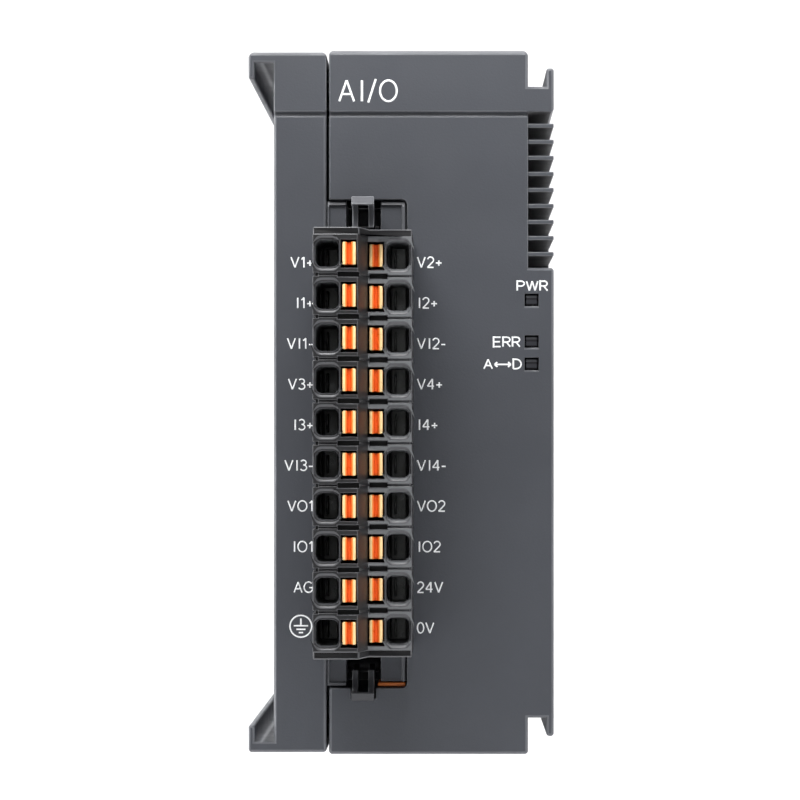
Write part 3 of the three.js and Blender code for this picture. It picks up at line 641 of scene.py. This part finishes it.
# Each glyph is its width and its strokes, for a cap height of 1.
BOWL = [(0, 0), (0, 1), (0.34, 1), *arc(0.34, 0.74, 0.26, 0.26, 80, -80), (0.34, 0.48), (0, 0.48)]
GLYPHS = {
    "V": (0.70, [[(0, 1), (0.35, 0), (0.70, 1)]]),
    "I": (0.28, [[(0.18, 0), (0.18, 1)]]),
    "O": (0.80, [arc(0.40, 0.5, 0.40, 0.5, 90, 450, 20)]),
    "A": (0.70, [[(0, 0), (0.35, 1), (0.70, 0)], [(0.12, 0.34), (0.58, 0.34)]]),
    "G": (0.78, [[*arc(0.40, 0.5, 0.40, 0.5, 48, 330, 16), (0.77, 0.46), (0.44, 0.46)]]),
    "P": (0.60, [BOWL]),
    "R": (0.62, [BOWL, [(0.30, 0.48), (0.62, 0)]]),
    "W": (0.96, [[(0, 1), (0.24, 0), (0.48, 1), (0.72, 0), (0.96, 1)]]),
    "E": (0.60, [[(0.60, 1), (0, 1), (0, 0), (0.60, 0)], [(0, 0.52), (0.54, 0.52)]]),
    "D": (0.68, [[(0, 0), (0, 1), (0.24, 1), *arc(0.24, 0.5, 0.44, 0.5, 80, -80), (0.24, 0), (0, 0)]]),
    "0": (0.56, [arc(0.28, 0.5, 0.28, 0.5, 90, 450, 16)]),
    "1": (0.34, [[(0.04, 0.76), (0.26, 1), (0.26, 0)]]),
    "2": (0.56, [[*arc(0.28, 0.72, 0.27, 0.28, 165, -35), (0, 0), (0.56, 0)]]),
    "3": (0.56, [[*arc(0.27, 0.76, 0.25, 0.24, 150, -80), *arc(0.27, 0.27, 0.29, 0.27, 80, -155)]]),
    "4": (0.60, [[(0.44, 0), (0.44, 1), (0, 0.30), (0.60, 0.30)]]),
    "+": (0.52, [[(0, 0.42), (0.52, 0.42)], [(0.26, 0.16), (0.26, 0.68)]]),
    "-": (0.36, [[(0, 0.40), (0.36, 0.40)]]),
    "/": (0.36, [[(0, -0.06), (0.36, 1.06)]]),
    "~": (1.40, [[(0, 0.45), (1.40, 0.45)],
                 [(0.24, 0.70), (0, 0.45), (0.24, 0.20)], [(1.16, 0.70), (1.40, 0.45), (1.16, 0.20)]]),
}
LETTER_GAP = 0.20


def word_width(text):
    return sum(GLYPHS[c][0] for c in text) + LETTER_GAP * (len(text) - 1)


def word_strokes(text, cap, x, z, anchor=0, stretch=1.0):
    """The strokes of a word in X and Z. z is the middle of its capitals, and x is its left end, or
    its right end if anchor is 1. Stretch widens the letters."""
    wide = cap * stretch
    pen = x - anchor * wide * word_width(text)
    strokes = []
    for letter in text:
        width, paths = GLYPHS[letter]
        for path in paths:
            strokes.append([(pen + wide * u, z + cap * (v - 0.5)) for u, v in path])
        pen += wide * (width + LETTER_GAP)
    return strokes


def cut_at_corners(stroke, line):
    """The stroke as runs with no sharp corner in them, so that its line is as wide at a corner as
    elsewhere. A run reaches half a line past a square corner."""
    runs = [[Vector(stroke[0])]]
    for before, corner, after in zip(stroke, stroke[1:], stroke[2:]):
        arrival = (Vector(corner) - Vector(before)).normalized()
        departure = (Vector(after) - Vector(corner)).normalized()
        turn = arrival.angle(departure)
        if turn < SHARP_TURN:
            runs[-1].append(Vector(corner))
            continue
        reach = line / 2 if turn < ACUTE_TURN else 0
        runs[-1].append(Vector(corner) + reach * arrival)
        runs.append([Vector(corner) - reach * departure])
    runs[-1].append(Vector(stroke[-1]))
    return runs


def printed(name, strokes, line):
    """One mesh of ink lines on the front panel."""
    curve = bpy.data.curves.new(name, "CURVE")
    curve.dimensions = "3D"
    curve.bevel_depth = line / 2
    curve.bevel_resolution = 1
    curve.use_fill_caps = True
    for stroke in [run for stroke in strokes for run in cut_at_corners(stroke, line)]:
        closed = math.dist(stroke[0], stroke[-1]) < 1e-7
        points = stroke[:-1] if closed else stroke
        spline = curve.splines.new("POLY")
        spline.points.add(len(points) - 1)
        for point, (x, z) in zip(spline.points, points):
            point.co = (x, 0, z, 1)
        spline.use_cyclic_u = closed
    drawn = bpy.data.objects.new(name, curve)
    data = bpy.data.meshes.new_from_object(drawn)
    bpy.data.objects.remove(drawn)
    for vertex in data.vertices:
        vertex.co.y = FRONT + vertex.co.y / line * INK_THICKNESS
    data.materials.clear()
    data.materials.append(INK)
    piece = bpy.data.objects.new(name, data)
    bpy.context.scene.collection.objects.link(piece)
    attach(piece, "housing")


LEFT_WORDS = ("V1+", "I1+", "VI1-", "V3+", "I3+", "VI3-", "VO1", "IO1", "AG")
RIGHT_WORDS = ("V2+", "I2+", "VI2-", "V4+", "I4+", "VI4-", "VO2", "IO2", "24V", "0V")
SMALL_CAP = 1.30 * MM
SMALL_STRETCH = 1.07
SMALL_LINE = 0.20 * MM
WORD_TOP = 17.48 * MM
WORD_PITCH = 5.075 * MM
LEFT_EDGE = -12.6 * MM
RIGHT_EDGE = 0.45 * MM
LAMP_CAP = 1.17 * MM
LAMP_STRETCH = 1.25
LAMP_LINE = 0.225 * MM
LAMP_WORDS = (("PWR", 12.92, 14.53), ("ERR", 9.97, 7.52), ("A~D", 8.77, 4.76))
HEADING_CAP = 2.62 * MM
HEADING_LINE = 0.30 * MM
HEADING_PLACE = (-9.3 * MM, 38.9 * MM)
EARTH_PLACE = (-14.1 * MM, -28.0 * MM)
EARTH_RADIUS = 1.36 * MM
EARTH_LINE = 0.22 * MM


def column_of_words(words, x, anchor):
    strokes = []
    for row, word in enumerate(words):
        strokes += word_strokes(word, SMALL_CAP, x, WORD_TOP - row * WORD_PITCH, anchor, SMALL_STRETCH)
    return strokes


def earth_sign(x, z, radius):
    ring = [(x + radius * u, z + radius * v) for u, v in arc(0, 0, 1, 1, 90, 450, 28)]
    stem = [(x, z + 0.72 * radius), (x, z + 0.05 * radius)]
    bars = [[(x + side * half * radius, z + height * radius) for side in (-1, 1)]
            for half, height in ((0.66, 0.05), (0.42, -0.28), (0.20, -0.58))]
    return [ring, stem, *bars]


lamp_strokes = []
for word, x, z in LAMP_WORDS:
    lamp_strokes += word_strokes(word, LAMP_CAP, x * MM, z * MM, stretch=LAMP_STRETCH)
printed("terminal_words_left", column_of_words(LEFT_WORDS, LEFT_EDGE, 1), SMALL_LINE)
printed("terminal_words_right", column_of_words(RIGHT_WORDS, RIGHT_EDGE, 0), SMALL_LINE)
printed("lamp_words", lamp_strokes, LAMP_LINE)
printed("earth_sign", earth_sign(*EARTH_PLACE, EARTH_RADIUS), EARTH_LINE)
printed("heading", word_strokes("AI/O", HEADING_CAP, *HEADING_PLACE), HEADING_LINE)


# ---------------------------------------------------------------- stage and light

FLOOR_DROP = 60 * MM
BEND_STEPS = 12
ROOM_LIGHT = 0.075
ROOM_SEEN = 0.95
# Each light: its place, where it points, its size, its watts, and its spread in degrees
MIDDLE = (0, -0.04, 0)
LIGHTS = {
    "key": ((-0.03, -0.19, 0.17), (0, -0.06, 0.03), (0.14, 0.08), 0.212, 110),
    "front": ((-0.05, -0.80, 0.14), MIDDLE, (0.5, 0.4), 0.36, 180),
    "high_front": ((-0.05, -0.70, 0.38), MIDDLE, (0.4, 0.28), 0.08, 180),
    "top": ((0, 0.02, 0.45), MIDDLE, (0.35, 0.35), 0.32, 90),
    "left": ((-0.30, -0.06, 0.05), MIDDLE, (0.1, 0.4), 0.75, 120),
    "right": ((0.50, -0.14, 0.10), MIDDLE, (0.25, 0.6), 0.8, 120),
    "back": ((0.1, 0.6, 0.4), MIDDLE, (0.5, 0.5), 0.30, 120),
    "wall": ((0, 0.25, 0.9), (0, 0.9, 0.1), (1.6, 0.4), 15, 180),
    "floor": ((0, -0.55, 0.30), (0, -0.50, -0.10), (1.6, 0.3), 2.0, 90),
}


def backdrop():
    """A pale floor that curves up into a wall well behind the object."""
    floor_z = CAD_BOX[0].z - FLOOR_DROP
    radius, back, front, height, half = 0.5, 0.9, -0.5, 2.2, 1.8
    profile = [(front, floor_z), (back - radius, floor_z)]
    for step in range(1, BEND_STEPS + 1):
        angle = math.pi / 2 * step / BEND_STEPS
        rise = radius * (1 - math.cos(angle))
        profile.append((back - radius + radius * math.sin(angle), floor_z + rise))
    profile.append((back, floor_z + height))
    mesh = bpy.data.meshes.new("backdrop")
    vertices = [(x, y, z) for y, z in profile for x in (-half, half)]
    faces = [(2 * i, 2 * i + 1, 2 * i + 3, 2 * i + 2) for i in range(len(profile) - 1)]
    mesh.from_pydata(vertices, [], faces)
    for polygon in mesh.polygons:
        polygon.use_smooth = True
    floor = bpy.data.objects.new("backdrop", mesh)
    bpy.context.scene.collection.objects.link(floor)
    material, _, _, shader = new_material("backdrop_paper")
    shader.inputs["Base Color"].default_value = (*PAPER, 1)
    shader.inputs["Roughness"].default_value = 0.9
    mesh.materials.append(material)


def softbox(name, place, target, size, power, spread):
    data = bpy.data.lights.new(name, "AREA")
    data.shape = "RECTANGLE"
    data.size, data.size_y = size
    data.energy = power
    data.spread = math.radians(spread)
    lamp = bpy.data.objects.new(name, data)
    bpy.context.scene.collection.objects.link(lamp)
    lamp.location = place
    lamp.rotation_euler = (Vector(target) - Vector(place)).to_track_quat("-Z", "Y").to_euler()
    lamp.visible_camera = False


def surroundings(strength, seen):
    """An even white room, which lights the object less than its own brightness to the camera."""
    world = bpy.data.worlds.new("studio")
    bpy.context.scene.world = world
    world.use_nodes = True
    nodes, links = world.node_tree.nodes, world.node_tree.links
    room = nodes["Background"]
    room.inputs["Color"].default_value = (1, 1, 1, 1)
    room.inputs["Strength"].default_value = strength
    far = nodes.new("ShaderNodeBackground")
    far.inputs["Color"].default_value = (1, 1, 1, 1)
    far.inputs["Strength"].default_value = seen
    ray = nodes.new("ShaderNodeLightPath")
    mix = nodes.new("ShaderNodeMixShader")
    links.new(ray.outputs["Is Camera Ray"], mix.inputs["Fac"])
    links.new(room.outputs["Background"], mix.inputs[1])
    links.new(far.outputs["Background"], mix.inputs[2])
    links.new(mix.outputs["Shader"], nodes["World Output"].inputs["Surface"])


backdrop()
surroundings(ROOM_LIGHT, ROOM_SEEN)
for name, settings in LIGHTS.items():
    softbox(name, *settings)
bpy.context.scene.view_settings.view_transform = "Standard"
